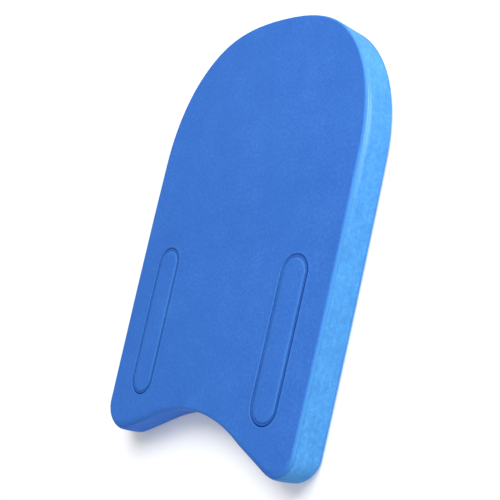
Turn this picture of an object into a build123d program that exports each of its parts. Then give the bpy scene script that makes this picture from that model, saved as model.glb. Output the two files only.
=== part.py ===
from build123d import *
import os
from math import acos, asin, atan2, cos, degrees, hypot, sin

# A swimming kickboard of closed-cell foam, lying on its back with the grip face up.
# A thick foam core is laminated between two face sheets, and two grip pads sit in
# shallow recesses pressed into the front sheet. Nothing on it moves.
# X runs across the board, +Y to the rounded nose and +Z out of the grip face.
# The origin is under the middle of the board, on the plane it lies on. Millimetres.

# Board
length = 431.0
width = 295.0
thickness = 35.0
sheet_thickness = 3.0
edge_radius = 2.6

# Outline, as distances from the centreline and from the tip of the nose
shoulder_x = 83.0
shoulder_below_nose = 16.8
cheek_x = 141.2
cheek_below_nose = 96.5
widest_below_nose = 143.0
side_bow_radius = 11000.0
horn_radius = 24.0
notch_radius = 150.0
notch_depth = 39.2

# Grips
recess_length = 154.0
recess_width = 35.9
recess_depth = 1.0
groove_width = 3.0
grip_from_centreline = 96.3
grip_above_tail = 115.5
grip_toe = 0.6
lip_radius = 0.8

nose_y = length / 2
tail_y = -length / 2
core_thickness = thickness - 2 * sheet_thickness
front_sheet_z = thickness - sheet_thickness
recess_floor_z = thickness - recess_depth


def arc_from(line, radius, turn):
    """Carry on from the end of a line with a tangent arc; a positive turn is to the right."""
    return JernArc(start=line @ 1, tangent=line % 1, radius=radius, arc_size=-turn)


# The side, an arc of very large radius, turns until the horn arc inside it reaches the tail
widest_y = nose_y - widest_below_nose
horn_y = tail_y + horn_radius
side_turn = asin((widest_y - horn_y) / (side_bow_radius - horn_radius))
horn_x = width / 2 - (side_bow_radius - horn_radius) * (1 - cos(side_turn)) - horn_radius

# The straight flank touches both the horn arc and the notch arc, which bend opposite ways
notch_y = tail_y + notch_depth
centre_drop = horn_y - (notch_y - notch_radius)
centre_distance = hypot(horn_x, centre_drop)
flank_slope = atan2(horn_x, centre_drop) - acos((horn_radius + notch_radius) / centre_distance)
notch_start_x = notch_radius * sin(flank_slope)
notch_start_y = notch_y - notch_radius * (1 - cos(flank_slope))

# The board's outline from above: arched nose, gently bowed sides and a notched tail
with BuildSketch() as board_outline:
    with BuildLine():
        arch = Spline(
            (0, nose_y),
            (shoulder_x, nose_y - shoulder_below_nose),
            (cheek_x, nose_y - cheek_below_nose),
            (width / 2, widest_y),
            tangents=((1, 0), (0, -1)),
            tangent_scalars=(1, 1),
        )
        side = arc_from(arch, side_bow_radius, degrees(side_turn))
        horn = arc_from(side, horn_radius, 90 - degrees(side_turn - flank_slope))
        flank = Line(horn @ 1, (notch_start_x, notch_start_y))
        notch = arc_from(flank, notch_radius, -degrees(flank_slope))
        mirror(about=Plane.YZ)
    make_face()


# Thick slab in the middle, which gives the board its float and its plain side wall
with BuildPart() as foam_core:
    with BuildSketch(Plane.XY.offset(sheet_thickness)):
        add(board_outline.sketch)
    extrude(amount=core_thickness)
foam_core.part.label = "foam_core"


# Back sheet: plain, with its outer edge rounded
with BuildPart() as back_sheet:
    with BuildSketch():
        add(board_outline.sketch)
    extrude(amount=sheet_thickness)
    fillet(back_sheet.edges().group_by(Axis.Z)[0], radius=edge_radius)
back_sheet.part.label = "back_sheet"


# Front sheet: the same sheet on the other face, with a shallow recess for each grip pad
with BuildPart() as front_sheet:
    with BuildSketch(Plane.XY.offset(front_sheet_z)):
        add(board_outline.sketch)
    extrude(amount=sheet_thickness)
    fillet(front_sheet.edges().group_by(Axis.Z)[-1], radius=edge_radius)
    with BuildSketch(Plane.XY.offset(recess_floor_z)):
        for hand in (-1, 1):
            with Locations((hand * grip_from_centreline, tail_y + grip_above_tail)):
                SlotOverall(recess_length, recess_width, rotation=90 - hand * grip_toe)
    extrude(amount=recess_depth, mode=Mode.SUBTRACT)
front_sheet.part.label = "front_sheet"


def grip_pad(hand):
    """Grip pad in the recess on one side: hand is -1 for the left and 1 for the right."""
    with BuildPart() as pad:
        with BuildSketch(Plane.XY.offset(recess_floor_z)):
            with Locations((hand * grip_from_centreline, tail_y + grip_above_tail)):
                SlotOverall(
                    recess_length - 2 * groove_width,
                    recess_width - 2 * groove_width,
                    rotation=90 - hand * grip_toe,
                )
        extrude(amount=recess_depth)
        fillet(pad.edges().group_by(Axis.Z)[-1], radius=lip_radius)
    return pad.part


left_grip_pad = grip_pad(-1)
left_grip_pad.label = "left_grip_pad"
right_grip_pad = grip_pad(1)
right_grip_pad.label = "right_grip_pad"


os.makedirs("parts", exist_ok=True)
export_step(foam_core.part, "parts/foam_core.step")
export_step(back_sheet.part, "parts/back_sheet.step")
export_step(front_sheet.part, "parts/front_sheet.step")
export_step(left_grip_pad, "parts/left_grip_pad.step")
export_step(right_grip_pad, "parts/right_grip_pad.step")
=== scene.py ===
import math

import bmesh
import bpy
import numpy as np
from mathutils import Matrix, Vector, kdtree, noise
from mathutils.geometry import delaunay_2d_cdt


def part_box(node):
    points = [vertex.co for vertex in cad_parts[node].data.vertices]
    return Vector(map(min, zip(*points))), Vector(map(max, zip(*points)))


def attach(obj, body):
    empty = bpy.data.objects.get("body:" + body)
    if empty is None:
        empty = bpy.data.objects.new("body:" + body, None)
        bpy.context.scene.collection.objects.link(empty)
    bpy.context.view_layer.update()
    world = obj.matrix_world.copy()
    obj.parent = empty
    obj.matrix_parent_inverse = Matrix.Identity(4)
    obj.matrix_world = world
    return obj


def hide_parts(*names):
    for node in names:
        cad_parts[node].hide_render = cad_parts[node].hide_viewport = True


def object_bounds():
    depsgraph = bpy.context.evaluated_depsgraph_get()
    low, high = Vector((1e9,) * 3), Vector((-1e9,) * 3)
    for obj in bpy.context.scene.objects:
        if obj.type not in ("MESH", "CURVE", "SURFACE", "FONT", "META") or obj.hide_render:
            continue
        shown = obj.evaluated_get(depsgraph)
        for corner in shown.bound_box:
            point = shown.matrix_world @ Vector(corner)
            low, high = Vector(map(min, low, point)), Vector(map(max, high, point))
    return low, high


# A swimming kickboard of closed-cell foam, lying on its back with the grip face up.
# Shapes are worked out in millimetres and turned into metres when their mesh is made.

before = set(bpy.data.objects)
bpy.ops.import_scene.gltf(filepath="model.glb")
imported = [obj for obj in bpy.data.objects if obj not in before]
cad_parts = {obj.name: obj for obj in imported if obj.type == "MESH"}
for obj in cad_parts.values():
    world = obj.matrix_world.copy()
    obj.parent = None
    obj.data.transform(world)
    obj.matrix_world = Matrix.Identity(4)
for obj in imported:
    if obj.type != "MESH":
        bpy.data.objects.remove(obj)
cad_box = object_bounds()

MM = 0.001

# ---------------------------------------------------------------- Sizes, from the frame
board_low, board_high = (corner / MM for corner in cad_box)
HALF_WIDTH = board_high.x
NOSE_Y = board_high.y
TAIL_Y = board_low.y
BACK_Z = board_low.z
FACE_Z = board_high.z
BACK_SEAM_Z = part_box("back_sheet")[1].z / MM
FRONT_SEAM_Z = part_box("front_sheet")[0].z / MM
RECESS_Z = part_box("right_grip_pad")[0].z / MM

# The outline, as distances from the centreline and from the tip of the nose
SHOULDER_X, SHOULDER_BELOW_NOSE = 83.0, 16.8
CHEEK_X, CHEEK_BELOW_NOSE = 141.2, 96.5
WIDEST_BELOW_NOSE = 143.0
SIDE_BOW_RADIUS = 11000.0
HORN_RADIUS = 24.0
NOTCH_RADIUS = 150.0
NOTCH_DEPTH = 39.2

# How round the edge of a face is along the sides, at the cheeks, at the nose and under the horns
SIDE_EDGE_RADIUS = 3.0
CHEEK_EDGE_RADIUS = 3.8
NOSE_EDGE_RADIUS = 1.8
HORN_EDGE_RADIUS = 8.0

# How far out the horns have their full rounding, as a share of the half width
HORN_REACH = 0.75

# Where the cheeks are roundest and get the most painted highlight, and how far that reaches to the
# nose and the tail
CHEEK_PEAK_BELOW = 20
CHEEK_FADE_NOSEWARD, CHEEK_FADE_TAILWARD = 36, 64

# The cut wall: how far it bulges at the horns, how far down from the face it carries a pale
# painted highlight, and how fine its rings are down to RIM_DEPTH below the face and further down
HORN_BULGE = 0.7
WALL_HIGHLIGHT_DEPTH = 2.3
RIM_DEPTH, RIM_STEP, WALL_STEP = 8, 0.8, 1.8

# The notch: how much shallower it is at the grip face, how far from the centreline that stops,
# and over what distance it fades
NOTCH_LEAN = 2.4
LEAN_REACH, LEAN_FADE = 115, 40

# The seams between the sheets and the core: their small rounding, how dark they are and how soon
# that fades down the wall
SEAM_RADIUS = 0.45
SEAM_SHADE, SEAM_SHADE_DEPTH = 0.08, 0.5

# The rim of a sheet: how far it turns to the look of cut foam, how much paler it is painted at the
# cheeks as a highlight, how soon that ends towards the face, and the mesh's rings on the face
# beside it
CUT_RIM = 0.5
RIM_HIGHLIGHT, RIM_HIGHLIGHT_POWER = 0.5, 9
FACE_RINGS = 0.7, 1.8, 3.6

# The grips: a recess in the front sheet, and a pad in it that leaves a groove all round
RECESS_LENGTH, RECESS_WIDTH = 154.0, 35.9
GROOVE_WIDTH = 3.0
GRIP_FROM_CENTRELINE = 96.3
GRIP_ABOVE_TAIL = 115.5
GRIP_TOE = 0.6

# Across the groove and the pad's edge: (distance inside the recess, height above the face,
# how pale the rim is, a painted highlight on the lips, how dark the pressed line is, partly
# painted shade)
GROOVE_PROFILE = (
    (-4.0, 0.0, 0.0, 0.0),
    (-2.4, 0.02, 0.01, 0.0),
    (-1.5, 0.1, 0.06, 0.0),
    (-0.9, 0.17, 0.14, 0.0),
    (-0.4, 0.17, 0.2, 0.0),
    (0.0, 0.04, 0.14, 0.05),
    (0.2, -0.3, 0.04, 0.5),
    (0.45, -0.75, 0.0, 0.9),
    (0.9, -0.95, 0.0, 1.0),
    (1.3, -0.85, 0.0, 0.9),
    (1.7, -0.66, 0.0, 0.45),
    (2.3, -0.6, 0.0, 0.1),
    (2.7, -0.65, 0.0, 0.15),
    (3.0, -0.85, 0.0, 0.5),
)
PAD_PROFILE = (
    (3.0, -0.85, 0.0, 0.6),
    (3.3, -0.72, 0.0, 0.35),
    (3.8, -0.48, 0.04, 0.05),
    (4.3, -0.24, 0.14, 0.0),
    (4.8, -0.02, 0.2, 0.0),
    (5.3, 0.11, 0.16, 0.0),
    (5.9, 0.17, 0.08, 0.0),
    (7.0, 0.2, 0.02, 0.0),
    (9.0, 0.22, 0.0, 0.0),
    (12.0, 0.25, 0.0, 0.0),
    (15.5, 0.26, 0.0, 0.0),
)

# How dark the pressed lines are, partly painted shade: everywhere, and how much more painted shade
# on the right of a grip and at its tail end
PRESSED_AND_SHADED, SHADED_MORE = 0.78, 0.42
SHADED_TOWARDS = 0.75, -0.66

# How uneven foam is, from slow waves to a fine orange peel: (size, height, shift)
UNEVENNESS = (
    (75, 0.16, (0, 0, 0)),
    (28, 0.07, (7, 3, 1)),
    (7.5, 0.022, (0, 0, 0)),
    (3.6, 0.012, (0, 0, 0)),
)

# How fine the meshes are
OUTLINE_STEP = 2.2
GRIP_STEP = 1.8
FACE_PITCH = 2.6
HIDDEN_PITCH = 14.0


# ---------------------------------------------------------------- Outlines
def arc(centre, radius, start, turn, step, hollow=False):
    """Points along an arc, without its last one, and their outward normals."""
    count = max(2, round(abs(radius * turn) / step))
    angle = start + turn * np.arange(count) / count
    out = np.stack((np.cos(angle), np.sin(angle)), axis=1)
    return np.array(centre) + radius * out, -out if hollow else out


def straight(start, end, normal, step):
    """Points along a line, without its last one, and their outward normals."""
    start, end = np.array(start), np.array(end)
    count = max(1, round(np.linalg.norm(end - start) / step))
    share = np.arange(count)[:, None] / count
    return start + (end - start) * share, np.tile(normal, (count, 1))


def clamped_spline(points, first_tangent, last_tangent, step):
    """Points along the cubic spline through points, without its last one, and outward normals."""
    knots = np.array(points, float)
    span = np.linalg.norm(np.diff(knots, axis=0), axis=1)
    slope = np.diff(knots, axis=0) / span[:, None]
    system = np.eye(len(knots))
    known = np.zeros_like(knots)
    known[0], known[-1] = first_tangent, last_tangent
    for i in range(1, len(knots) - 1):
        system[i, i - 1 : i + 2] = span[i], 2 * (span[i - 1] + span[i]), span[i - 1]
        known[i] = 3 * (span[i] * slope[i - 1] + span[i - 1] * slope[i])
    tangent = np.linalg.solve(system, known)
    places, normals = [], []
    for i, length in enumerate(span):
        count = max(2, round(length / step))
        for t in np.arange(count) / count:
            pull = (t**3 - 2 * t**2 + t) * tangent[i] + (t**3 - t**2) * tangent[i + 1]
            blend = 3 * t**2 - 2 * t**3
            places.append(knots[i] * (1 - blend) + knots[i + 1] * blend + length * pull)
            ahead = (3 * t**2 - 4 * t + 1) * tangent[i] + (3 * t**2 - 2 * t) * tangent[i + 1]
            ahead = ahead + 6 * (t - t**2) * slope[i]
            normals.append(np.array((-ahead[1], ahead[0])) / np.linalg.norm(ahead))
    return np.array(places), np.array(normals)


def board_outline():
    """Points and outward normals round the board, clockwise from the tip of the nose."""
    widest_y = NOSE_Y - WIDEST_BELOW_NOSE
    horn_y = TAIL_Y + HORN_RADIUS
    inner_bow = SIDE_BOW_RADIUS - HORN_RADIUS
    side_turn = math.asin((widest_y - horn_y) / inner_bow)
    horn_x = HALF_WIDTH - inner_bow * (1 - math.cos(side_turn)) - HORN_RADIUS
    notch_y = TAIL_Y + NOTCH_DEPTH
    drop = horn_y - (notch_y - NOTCH_RADIUS)
    reach = math.hypot(horn_x, drop)
    slope = math.atan2(horn_x, drop) - math.acos((HORN_RADIUS + NOTCH_RADIUS) / reach)
    flank_out = np.array((-math.sin(slope), -math.cos(slope)))
    flank_start = np.array((horn_x, horn_y)) + HORN_RADIUS * flank_out
    notch_centre = np.array((0.0, notch_y - NOTCH_RADIUS))
    side_centre = HALF_WIDTH - SIDE_BOW_RADIUS, widest_y
    horn_turn = side_turn - slope - math.pi / 2
    runs = (
        clamped_spline(
            [
                (0.0, NOSE_Y),
                (SHOULDER_X, NOSE_Y - SHOULDER_BELOW_NOSE),
                (CHEEK_X, NOSE_Y - CHEEK_BELOW_NOSE),
                (HALF_WIDTH, widest_y),
            ],
            (1.0, 0.0),
            (0.0, -1.0),
            OUTLINE_STEP,
        ),
        arc(side_centre, SIDE_BOW_RADIUS, 0.0, -side_turn, OUTLINE_STEP),
        arc((horn_x, horn_y), HORN_RADIUS, -side_turn, horn_turn, OUTLINE_STEP),
        straight(flank_start, notch_centre - NOTCH_RADIUS * flank_out, flank_out, OUTLINE_STEP),
        arc(notch_centre, NOTCH_RADIUS, math.pi / 2 - slope, slope, OUTLINE_STEP, hollow=True),
        (np.array([(0.0, notch_y)]), np.array([(0.0, -1.0)])),
    )
    places = np.concatenate([run[0] for run in runs])
    normals = np.concatenate([run[1] for run in runs])
    mirror = np.array((-1.0, 1.0))
    return (
        np.concatenate((places, places[-2:0:-1] * mirror)),
        np.concatenate((normals, normals[-2:0:-1] * mirror)),
    )


def grip_outline(hand):
    """Points and outward normals round the recess on one side: hand is -1 left, 1 right."""
    lean = math.radians(90 - hand * GRIP_TOE)
    along = np.array((math.cos(lean), math.sin(lean)))
    side = np.array((math.sin(lean), -math.cos(lean)))
    centre = np.array((hand * GRIP_FROM_CENTRELINE, TAIL_Y + GRIP_ABOVE_TAIL))
    radius = RECESS_WIDTH / 2
    top = centre + along * (RECESS_LENGTH - RECESS_WIDTH) / 2
    bottom = 2 * centre - top
    runs = (
        arc(top, radius, lean - math.pi / 2, math.pi, GRIP_STEP),
        straight(top - side * radius, bottom - side * radius, -side, GRIP_STEP),
        arc(bottom, radius, lean + math.pi / 2, math.pi, GRIP_STEP),
        straight(bottom + side * radius, top + side * radius, side, GRIP_STEP),
    )
    return np.concatenate([run[0] for run in runs]), np.concatenate([run[1] for run in runs])


def inset(outline, distance):
    """The loop that runs that far inside an outline: one distance, or one for each point."""
    places, normals = outline
    return places - normals * np.reshape(distance, (-1, 1))


def inside(places, loop):
    """Which flat places are inside a closed loop."""
    x, y = np.reshape(places, (-1, 2)).T[:, :, None]
    start, end = loop, np.roll(loop, -1, axis=0)
    crossed = (start[:, 1] > y) != (end[:, 1] > y)
    rise = np.where(end[:, 1] == start[:, 1], 1, end[:, 1] - start[:, 1])
    meets = start[:, 0] + (y - start[:, 1]) * (end[:, 0] - start[:, 0]) / rise
    return np.count_nonzero(crossed & (x < meets), axis=1) % 2 == 1


def near_horns(outline):
    """1 under the horns of the tail, fading to 0 along the sides and in the notch."""
    places, normals = outline
    tailward = np.clip(-normals[:, 1], 0, 1)
    return tailward * np.clip(np.abs(places[:, 0]) / (HORN_REACH * HALF_WIDTH), 0, 1) ** 2


def near_cheeks(outline):
    """1 where the cheeks turn into the sides, fading to 0 towards the nose and the tail."""
    past_cheek = outline[0][:, 1] - (NOSE_Y - CHEEK_BELOW_NOSE) + CHEEK_PEAK_BELOW
    return np.exp(-((past_cheek / np.where(past_cheek > 0, CHEEK_FADE_NOSEWARD, CHEEK_FADE_TAILWARD)) ** 2))


def in_notch(outline):
    """1 round the notch and the tips of the horns, fading to 0 on the outside of the horns: where
    the notch wall gets painted shade.
    """
    places, normals = outline
    past_tip = (np.abs(places[:, 0]) - HALF_WIDTH + HORN_RADIUS) / HORN_RADIUS
    return np.clip(-2 * normals[:, 1], 0, 1) * np.clip(0.7 - past_tip * 2, 0, 1)


def edge_radii(outline):
    """How round the board's edge is at each point of its outline."""
    noseward = np.clip(2 * outline[1][:, 1], 0, 1)
    radii = SIDE_EDGE_RADIUS + (NOSE_EDGE_RADIUS - SIDE_EDGE_RADIUS) * noseward
    radii = radii + (CHEEK_EDGE_RADIUS - radii) * near_cheeks(outline)
    return radii + (HORN_EDGE_RADIUS - radii) * near_horns(outline)


def edge_inset(radii, depth):
    """How far the rounded edge stands inside the outline at a depth below the face."""
    left = np.maximum(radii - depth, 0)
    return radii - np.sqrt(np.maximum(radii**2 - left**2, 0))


def leaning(outline, profile):
    """A profile of (inset, z, looks) moved out where the notch is shallower at the grip face."""
    places, normals = outline
    middle = np.clip((LEAN_REACH - np.abs(places[:, 0])) / LEAN_FADE, 0, 1)
    tailward = np.clip(-2 * normals[:, 1], 0, 1)
    steepness = NOTCH_LEAN * middle * tailward / (FACE_Z - BACK_Z)
    return [(distance - steepness * (z - BACK_Z), z, *looks) for distance, z, *looks in profile]


# ---------------------------------------------------------------- Mesh building
class Shape:
    """The growing mesh of one foam piece, with how far each point belongs to a pale rim that is
    partly a painted highlight, to a dark pressed line with painted shade, and to the painted
    shade that darkens the notch wall."""

    def __init__(self):
        self.points = []
        self.rim = []
        self.crease_and_shade = []
        self.notch_shade = []
        self.faces = []

    def add(self, flat, z, rim=0.0, crease_and_shade=0.0, notch_shade=0.0):
        """Adds points at one height and returns their numbers."""
        first = len(self.points)
        self.points.extend((x, y, z) for x, y in flat)
        self.rim.extend(np.broadcast_to(rim, len(flat)))
        self.crease_and_shade.extend(np.broadcast_to(crease_and_shade, len(flat)))
        self.notch_shade.extend(np.broadcast_to(notch_shade, len(flat)))
        return list(range(first, len(self.points)))

    def band(self, one, other):
        """Quads between two loops that have as many points."""
        for i in range(len(one)):
            after = (i + 1) % len(one)
            self.faces.append((one[i], one[after], other[after], other[i]))

    def rings(self, outline, profile):
        """Bands along a profile of (inset, z, looks for add). Returns its first and last loop."""
        loops = [self.add(inset(outline, distance), *rest) for distance, *rest in profile]
        for one, other in zip(loops, loops[1:]):
            self.band(one, other)
        return loops[0], loops[-1]

    def cap(self, outer, openings, pitch):
        """Even triangles inside the outer loop and outside the convex openings."""
        rim = [number for loop in (outer, *openings) for number in loop]
        owner = [i for i, loop in enumerate((outer, *openings)) for _ in loop]
        flat = np.array(self.points)[rim][:, :2]
        z = self.points[outer[0]][2]
        edges = []
        for loop in (outer, *openings):
            first = len(edges)
            edges += [(first + i, first + (i + 1) % len(loop)) for i in range(len(loop))]
        near = kdtree.KDTree(len(flat))
        for i, (x, y) in enumerate(flat):
            near.insert((x, y, 0), i)
        near.balance()
        low, high = flat.min(axis=0), flat.max(axis=0)
        grid = []
        for row, y in enumerate(np.arange(low[1], high[1], pitch * math.sqrt(3) / 2)):
            for x in np.arange(low[0] + pitch / 2 * (row % 2), high[0], pitch):
                if near.find((x, y, 0))[2] > pitch * 0.6:
                    grid.append((x, y))
        for opening in openings:
            blocked = inside(grid, np.array(self.points)[opening][:, :2])
            grid = [place for place, hidden in zip(grid, blocked) if not hidden]
        fully_enclosed = 1
        made, _, triangles, origins, _, _ = delaunay_2d_cdt(
            [Vector(place) for place in (*flat, *grid)], edges, [], fully_enclosed, 1e-5
        )
        numbers = {}
        for triangle in triangles:
            first_origins = [min(origins[corner]) for corner in triangle]
            owners = {owner[i] if i < len(rim) else 0 for i in first_origins}
            if len(owners) == 1 and owners != {0}:
                continue
            for corner, origin in zip(triangle, first_origins):
                if corner in numbers:
                    continue
                if origin < len(rim):
                    numbers[corner] = rim[origin]
                else:
                    numbers[corner] = self.add([made[corner]], z)[0]
            self.faces.append(tuple(numbers[corner] for corner in triangle))


def relief(place):
    """How far foam stands out at a place, in millimetres."""
    return sum(
        noise.noise(place / size + Vector(shift)) * height for size, height, shift in UNEVENNESS
    )


def make_piece(shape, name, node, material, glued):
    """Makes a foam piece that stands for a CAD node. It stays flat where it is glued."""
    mesh = bpy.data.meshes.new(name)
    mesh.from_pydata(shape.points, [], shape.faces)
    for look in ("rim", "crease_and_shade", "notch_shade"):
        values = getattr(shape, look)
        mesh.attributes.new(look, "FLOAT", "POINT").data.foreach_set("value", values)
    solid = bmesh.new()
    solid.from_mesh(mesh)
    bmesh.ops.recalc_face_normals(solid, faces=solid.faces)
    solid.normal_update()
    moves = []
    for vertex in solid.verts:
        free = min(1.0, min(abs(vertex.co.z - z) for z in glued))
        moves.append(vertex.normal * relief(vertex.co) * free)
    for vertex, move in zip(solid.verts, moves):
        moved = vertex.co + move
        moved.z = max(moved.z, BACK_Z)
        vertex.co = moved * MM
    solid.to_mesh(mesh)
    solid.free()
    mesh.shade_smooth()
    mesh.materials.append(material)
    piece = bpy.data.objects.new(name, mesh)
    bpy.context.scene.collection.objects.link(piece)
    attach(piece, "root")
    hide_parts(node)


# ---------------------------------------------------------------- Foam pieces
def sheet_rim(board, seam_z, open_z, cheek_highlight):
    """From a face sheet's glued face round its rim to its open face, for Shape.rings."""
    up = math.copysign(1, open_z - seam_z)
    radii = edge_radii(board)
    thickness = abs(open_z - seam_z)
    cut = CUT_RIM * (1 - near_horns(board))
    # The notch wall gets a darker blue: painted shade.
    notch_shade = in_notch(board)
    seam_shade = SEAM_SHADE * (1 - cheek_highlight)
    profile = []
    for turn in np.linspace(0, math.pi / 2, 5)[:-1]:
        depth = thickness - SEAM_RADIUS * (1 - math.cos(turn))
        eased = SEAM_RADIUS * (1 - math.sin(turn))
        # The rim turns to the look of cut foam and gets a painted highlight at the cheeks.
        looks = cut + RIM_HIGHLIGHT * cheek_highlight, seam_shade * (1 - turn / math.pi), notch_shade
        profile.append((edge_inset(radii, depth) + eased, open_z - up * depth, *looks))
    for turn in np.linspace(0, math.pi / 2, 13):
        depth = (thickness - SEAM_RADIUS) * (1 - math.sin(turn))
        pale = cut * math.cos(turn) + RIM_HIGHLIGHT * cheek_highlight * math.cos(turn) ** RIM_HIGHLIGHT_POWER
        looks = pale, seam_shade * max(0, 0.5 - turn * 2), notch_shade * math.cos(turn)
        profile.append((edge_inset(radii, depth), open_z - up * depth, *looks))
    for further in FACE_RINGS:
        profile.append((radii + further, open_z))
    return leaning(board, profile)


def raised(profile, grip):
    """A profile whose heights are above the face, as one in the board's frame, its pressed lines
    darker by painted shade that depends on which way they face.
    """
    # Dark pressed lines, with more painted shade on the right of a grip and at its tail end.
    pressed = PRESSED_AND_SHADED + SHADED_MORE * grip[1] @ np.array(SHADED_TOWARDS)
    return [
        (distance, FACE_Z + height, rim, crease_and_shade * pressed)
        for distance, height, rim, crease_and_shade in profile
    ]


def front_sheet_shape(board, grips):
    """The sheet with the grip face: its rim, and a groove and a recess for each pad."""
    shape = Shape()
    glued, face = shape.rings(board, sheet_rim(board, FRONT_SEAM_Z, FACE_Z, near_cheeks(board)))
    openings = []
    for grip in grips:
        under_pad = [(GROOVE_WIDTH, RECESS_Z), (GROOVE_WIDTH + 0.8, RECESS_Z)]
        opening, floor = shape.rings(grip, raised(GROOVE_PROFILE, grip) + under_pad)
        shape.cap(floor, (), HIDDEN_PITCH)
        openings.append(opening)
    shape.cap(face, openings, FACE_PITCH)
    shape.cap(glued, (), HIDDEN_PITCH)
    return shape


def back_sheet_shape(board):
    """The plain sheet that the board lies on."""
    shape = Shape()
    glued, face = shape.rings(board, sheet_rim(board, BACK_SEAM_Z, BACK_Z, 0.0))
    shape.cap(face, (), FACE_PITCH)
    shape.cap(glued, (), HIDDEN_PITCH)
    return shape


def core_shape(board):
    """The slab between the sheets: a cut wall that carries on the rounding of the edges."""
    radii = edge_radii(board)
    bulge = HORN_BULGE * near_horns(board)
    cheek_highlight = near_cheeks(board)
    # A darker blue on the notch wall: painted shade.
    notch_shade = in_notch(board)
    sheet = FACE_Z - FRONT_SEAM_Z
    half = (FACE_Z - BACK_Z) / 2
    eased = [SEAM_RADIUS * (1 - math.cos(turn)) for turn in np.linspace(0, math.pi / 2, 5)]
    depths = [sheet + drop for drop in eased]
    depths += [*np.arange(sheet + 1, RIM_DEPTH, RIM_STEP)]
    depths += [*np.arange(RIM_DEPTH + 1, half, WALL_STEP), half]
    profile = []
    for depth in depths:
        easing = min(SEAM_RADIUS, max(0, SEAM_RADIUS - (depth - sheet)))
        distance = SEAM_RADIUS - math.sqrt(SEAM_RADIUS**2 - easing**2)
        out = bulge * math.sin(math.pi / 2 * (depth - sheet) / (half - sheet))
        # A pale painted highlight on the wall just under the sheet at the cheeks.
        pale = cheek_highlight * math.exp(-(((depth - sheet - 1) / WALL_HIGHLIGHT_DEPTH) ** 2))
        dark = SEAM_SHADE * (1 - cheek_highlight) * math.exp(-((depth - sheet) / SEAM_SHADE_DEPTH))
        looks = pale, dark, notch_shade
        profile.append((edge_inset(radii, depth) + distance - out, FACE_Z - depth, *looks))
    mirrored = [
        (distance, BACK_Z + FACE_Z - z, 0.0, dark, notch_shade)
        for distance, z, _, dark, _ in profile[-2::-1]
    ]
    shape = Shape()
    for loop in shape.rings(board, leaning(board, profile + mirrored)):
        shape.cap(loop, (), HIDDEN_PITCH)
    return shape


def pad_shape(grip):
    """A thin pad in its recess, with a soft rounded edge and a slightly crowned top."""
    shape = Shape()
    for loop in shape.rings(grip, [(GROOVE_WIDTH, RECESS_Z), *raised(PAD_PROFILE, grip)]):
        shape.cap(loop, (), FACE_PITCH)
    return shape


# ---------------------------------------------------------------- Materials
SKIN_DARK, SKIN_COLOUR, SKIN_PALE = (0.019, 0.103, 0.40), (0.031, 0.134, 0.48), (0.055, 0.19, 0.58)
CUT_DARK, CUT_COLOUR, CUT_PALE = (0.023, 0.115, 0.31), (0.035, 0.160, 0.375), (0.06, 0.225, 0.47)
# A darker blue painted on the notch wall as shade
NOTCH_SHADE_COLOUR = (0.028, 0.132, 0.49)
# A pale blue painted on the rims as a highlight, mostly at the cheeks
RIM_HIGHLIGHT_COLOUR = (0.080, 0.225, 0.40)
# A dark blue for the pressed lines in the grooves, partly painted shade
CREASE_AND_SHADE_COLOUR = (0.0, 0.018, 0.2)
FOAM_SHINE = 0.11


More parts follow.
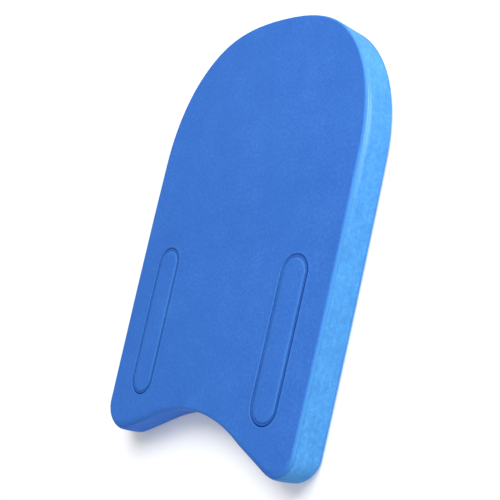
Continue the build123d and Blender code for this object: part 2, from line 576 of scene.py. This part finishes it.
class Foam:
    """Builds the node tree of one foam material."""

    def __init__(self, name, dark, middle, pale, roughness):
        self.material = bpy.data.materials.new(name)
        self.material.use_nodes = True
        self.tree = self.material.node_tree
        self.shader = self.tree.nodes["Principled BSDF"]
        self.object_place = self.node("TexCoord").outputs["Object"]
        ramp = self.node("ValToRGB")
        ramp.color_ramp.elements[0].position = 0.0
        ramp.color_ramp.elements[0].color = (*dark, 1)
        ramp.color_ramp.elements[1].position = 1.0
        ramp.color_ramp.elements[1].color = (*pale, 1)
        ramp.color_ramp.elements.new(0.5).color = (*middle, 1)
        self.ramp = ramp
        self.roughness = roughness

    def node(self, kind):
        return self.tree.nodes.new("ShaderNode" + kind)

    def join(self, value, socket):
        """Sets a socket to a number, or links another socket to it."""
        if isinstance(value, bpy.types.NodeSocket):
            self.tree.links.new(value, socket)
        else:
            socket.default_value = value

    def maths(self, operation, *values, clamp=False):
        made = self.node("Math")
        made.operation = operation
        made.use_clamp = clamp
        for value, socket in zip(values, made.inputs):
            self.join(value, socket)
        return made.outputs[0]

    def place(self, size, stretch=(1, 1, 1), turn=0.0):
        """Object coordinates where one unit is size millimetres, longer along a stretched axis."""
        made = self.node("Mapping")
        made.vector_type = "TEXTURE"
        made.inputs["Rotation"].default_value = (0, 0, math.radians(turn))
        made.inputs["Scale"].default_value = [size * MM * share for share in stretch]
        self.join(self.object_place, made.inputs["Vector"])
        return made.outputs[0]

    def blotches(self, size, detail=2.0, **how):
        """Soft noise about size millimetres across, from about -0.5 to 0.5."""
        made = self.node("TexNoise")
        self.join(self.place(size, **how), made.inputs["Vector"])
        made.inputs["Scale"].default_value = 1.0
        made.inputs["Detail"].default_value = detail
        return self.maths("SUBTRACT", made.outputs[0], 0.5)

    def pits(self, size, share):
        """Round pits in a share of the foam's cells, 1 at the bottom of a pit."""
        made = self.node("TexVoronoi")
        self.join(self.place(size), made.inputs["Vector"])
        made.inputs["Scale"].default_value = 1.0
        away = self.maths("MULTIPLY", made.outputs["Distance"], 2.6)
        bowl = self.maths("SUBTRACT", 1.0, away, clamp=True)
        tone = self.node("SeparateColor")
        self.join(made.outputs["Color"], tone.inputs[0])
        chosen = self.maths("LESS_THAN", tone.outputs[0], share)
        return self.maths("MULTIPLY", bowl, chosen)

    def scratches(self, size, stretch, turn, width, share):
        """Thin broken lines along a stretched axis, 1 on a line."""
        lines = self.blotches(size, 1.0, stretch=stretch, turn=turn)
        away = self.maths("DIVIDE", self.maths("ABSOLUTE", lines), width)
        line = self.maths("SUBTRACT", 1.0, away, clamp=True)
        patches = self.maths("GREATER_THAN", self.blotches(size * 2.3, 0.0), 0.5 - share)
        return self.maths("MULTIPLY", line, patches)

    def total(self, *terms):
        """The sum of (value, weight) pairs."""
        result = 0.0
        for value, weight in terms:
            result = self.maths("MULTIPLY_ADD", value, weight, result)
        return result

    def painted(self, name):
        """A value that the mesh carries at each point."""
        made = self.node("Attribute")
        made.attribute_name = name
        return made.outputs["Fac"]

    def tint(self, colour, share, other):
        """A colour turned towards another one."""
        made = self.node("Mix")
        made.data_type = "RGBA"
        self.join(share, made.inputs["Factor"])
        self.join(colour, made.inputs["A"])
        made.inputs["B"].default_value = (*other, 1)
        return made.outputs["Result"]

    def finish(self, tone, gloss, height, cut, rim):
        """Colour from tone (0.5 is the middle), roughness from gloss, bumps from height in mm,
        and how far the colour turns to that of cut foam and to a pale painted highlight on the
        rim.
        The mesh's values darken it with painted shade in the notch and along the pressed lines."""
        self.join(tone, self.ramp.inputs[0])
        notch_shade, crease_and_shade = self.painted("notch_shade"), self.painted("crease_and_shade")
        colour = self.ramp.outputs[0]
        # The colour turns to cut foam, to a painted highlight on the rims, to painted shade in the
        # notch, and to dark pressed lines that are partly painted shade.
        tints = (
            (cut, CUT_COLOUR),
            (rim, RIM_HIGHLIGHT_COLOUR),
            (notch_shade, NOTCH_SHADE_COLOUR),
            (crease_and_shade, CREASE_AND_SHADE_COLOUR),
        )
        for share, other in tints:
            colour = self.tint(colour, share, other)
        self.join(colour, self.shader.inputs["Base Color"])
        self.shader.inputs["Specular IOR Level"].default_value = FOAM_SHINE
        rough = self.maths("ADD", gloss, self.roughness, clamp=True)
        self.join(rough, self.shader.inputs["Roughness"])
        bump = self.node("Bump")
        bump.inputs["Distance"].default_value = MM
        self.join(height, bump.inputs["Height"])
        self.join(bump.outputs[0], self.shader.inputs["Normal"])
        return self.material


def skin_foam(name, dark, middle, pale):
    """The pressed skin of the sheets and pads: fine matt cells, faint blotches and scuffs."""
    foam = Foam(name, dark, middle, pale, 0.6)
    cells = foam.blotches(1.1, 3.0)
    grain = foam.blotches(3.2, 3.0)
    cloud = foam.blotches(26, 3.0)
    broad = foam.blotches(120, 1.0)
    pores = foam.pits(1.5, 0.22)
    scuffs = foam.scratches(36, (1, 0.06, 1), 62, 0.012, 0.16)
    rim = foam.painted("rim")
    tone = foam.total((cells, 0.75), (grain, 0.65), (cloud, 0.35), (broad, 0.25), (pores, -0.3))
    # The rim value makes the rims paler: the look of cut foam, and a painted highlight at the
    # cheeks and on the groove lips.
    tone = foam.total((tone, 1.0), (scuffs, 0.16), (rim, 0.2))
    tone = foam.maths("ADD", tone, 0.5)
    gloss = foam.total((cells, 0.16), (cloud, 0.14), (pores, 0.2), (scuffs, -0.06), (rim, -0.17))
    height = foam.total((cells, 0.075), (grain, 0.07), (pores, -0.11), (scuffs, -0.02))
    patchy = foam.total((foam.blotches(9, 3.0), 1.2), (1.0, 2.0))
    cut = foam.maths("MULTIPLY", rim, patchy, clamp=True)
    # The part of the rim value above a half is a pale painted highlight at the cheeks.
    cheek_highlight = foam.maths("MULTIPLY_ADD", rim, 2.0, -1.0, clamp=True)
    return foam.finish(tone, gloss, height, cut, cheek_highlight)


def cut_foam(name, dark, middle, pale):
    """The cut wall of the core: open cells, and faint streaks along the cut."""
    foam = Foam(name, dark, middle, pale, 0.65)
    cells = foam.blotches(1.3, 3.0)
    grain = foam.blotches(4.5, 3.0)
    cloud = foam.blotches(22, 2.0)
    streaks = foam.blotches(6, 2.0, stretch=(6, 6, 0.5))
    pores = foam.pits(1.2, 0.5)
    tone = foam.total((cells, 0.9), (grain, 0.8), (cloud, 0.5), (streaks, 0.4), (pores, -0.3))
    tone = foam.maths("ADD", tone, 0.5)
    gloss = foam.total((cells, 0.2), (cloud, 0.1), (pores, 0.2))
    height = foam.total((cells, 0.1), (grain, 0.08), (streaks, 0.03), (pores, -0.15))
    # The rim value paints a pale highlight on the upper wall at the cheeks.
    return foam.finish(tone, gloss, height, 0.0, foam.painted("rim"))


# ---------------------------------------------------------------- The board
skin = skin_foam("pressed_blue_foam", SKIN_DARK, SKIN_COLOUR, SKIN_PALE)
wall = cut_foam("cut_blue_foam", CUT_DARK, CUT_COLOUR, CUT_PALE)

board = board_outline()
left_grip, right_grip = grip_outline(-1), grip_outline(1)
make_piece(
    core_shape(board),
    "core_foam_slab",
    "foam_core",
    wall,
    (BACK_SEAM_Z, FRONT_SEAM_Z),
)
make_piece(
    back_sheet_shape(board), "back_face_sheet", "back_sheet", skin, (BACK_SEAM_Z,)
)
make_piece(
    front_sheet_shape(board, (left_grip, right_grip)),
    "front_face_sheet",
    "front_sheet",
    skin,
    (FRONT_SEAM_Z, RECESS_Z),
)
make_piece(
    pad_shape(left_grip), "left_grip_inlay", "left_grip_pad", skin, (RECESS_Z,)
)
make_piece(
    pad_shape(right_grip), "right_grip_inlay", "right_grip_pad", skin, (RECESS_Z,)
)


# ---------------------------------------------------------------- Floor, light and camera
# The lens in millimetres, the azimuth, elevation and roll in degrees, the point that the camera
# faces in millimetres across and along the board, and its distance from there in metres
CAMERA_LENS = 66.594
CAMERA_ANGLES = 79.404, 37.985, -70.65
CAMERA_AIM = 8.265, -17.89
CAMERA_DISTANCE = 0.8905


def link_object(name, data):
    made = bpy.data.objects.new(name, data)
    bpy.context.scene.collection.objects.link(made)
    return made


def pale_floor():
    """A wide plain floor at the height that the board lies on."""
    reach = 12.0
    mesh = bpy.data.meshes.new("studio_floor")
    corners = [(-reach, -reach, 0), (reach, -reach, 0), (reach, reach, 0), (-reach, reach, 0)]
    mesh.from_pydata(corners, [], [(0, 1, 2, 3)])
    material = bpy.data.materials.new("pale_floor")
    material.use_nodes = True
    shader = material.node_tree.nodes["Principled BSDF"]
    shader.inputs["Base Color"].default_value = (0.9, 0.905, 0.915, 1)
    shader.inputs["Roughness"].default_value = 0.8
    shader.inputs["Emission Color"].default_value = (1, 1, 1, 1)
    shader.inputs["Emission Strength"].default_value = 0.08
    mesh.materials.append(material)
    link_object("studio_floor", mesh)


def soft_box(name, azimuth, elevation, distance, size, power):
    """A square soft light that faces the board from azimuth (0 is +X, 90 is +Y)."""
    light = bpy.data.lights.new(name, "AREA")
    light.size = size
    light.energy = power
    made = link_object(name, light)
    a, e = math.radians(azimuth), math.radians(elevation)
    out = Vector((math.cos(a) * math.cos(e), math.sin(a) * math.cos(e), math.sin(e)))
    made.location = out * distance
    made.rotation_mode = "QUATERNION"
    made.rotation_quaternion = (-out).to_track_quat("-Z", "Y")
    made.visible_camera = False


def daylight(strength):
    """Even light from all round."""
    world = bpy.data.worlds.new("studio_world")
    world.use_nodes = True
    background = world.node_tree.nodes["Background"]
    background.inputs["Color"].default_value = (0.97, 0.985, 1.0, 1)
    background.inputs["Strength"].default_value = strength
    bpy.context.scene.world = world


def studio_camera():
    """The camera, rolled so that the board stands on its tail in the picture."""
    data = bpy.data.cameras.new("studio_camera")
    data.sensor_width = 36.0
    data.lens = CAMERA_LENS
    camera = link_object("studio_camera", data)
    azimuth, elevation, roll = (math.radians(angle) for angle in CAMERA_ANGLES)
    aim = Vector((*CAMERA_AIM, FACE_Z / 2)) * MM
    back = Vector(
        (
            math.sin(azimuth) * math.cos(elevation),
            -math.cos(azimuth) * math.cos(elevation),
            math.sin(elevation),
        )
    )
    upright = back.to_track_quat("Z", "Y").to_matrix()
    turn = upright @ Matrix.Rotation(roll, 3, "Z")
    camera.matrix_world = Matrix.LocRotScale(aim + back * CAMERA_DISTANCE, turn, None)
    bpy.context.scene.camera = camera


pale_floor()
daylight(0.48)
soft_box("high_light", azimuth=75, elevation=57, distance=3.0, size=2.2, power=87)
soft_box("side_light", azimuth=-26, elevation=5, distance=1.05, size=0.4, power=7)
soft_box("cheek_light", azimuth=40, elevation=7, distance=1.2, size=0.29, power=15.5)
studio_camera()
bpy.context.scene.view_settings.view_transform = "Standard"
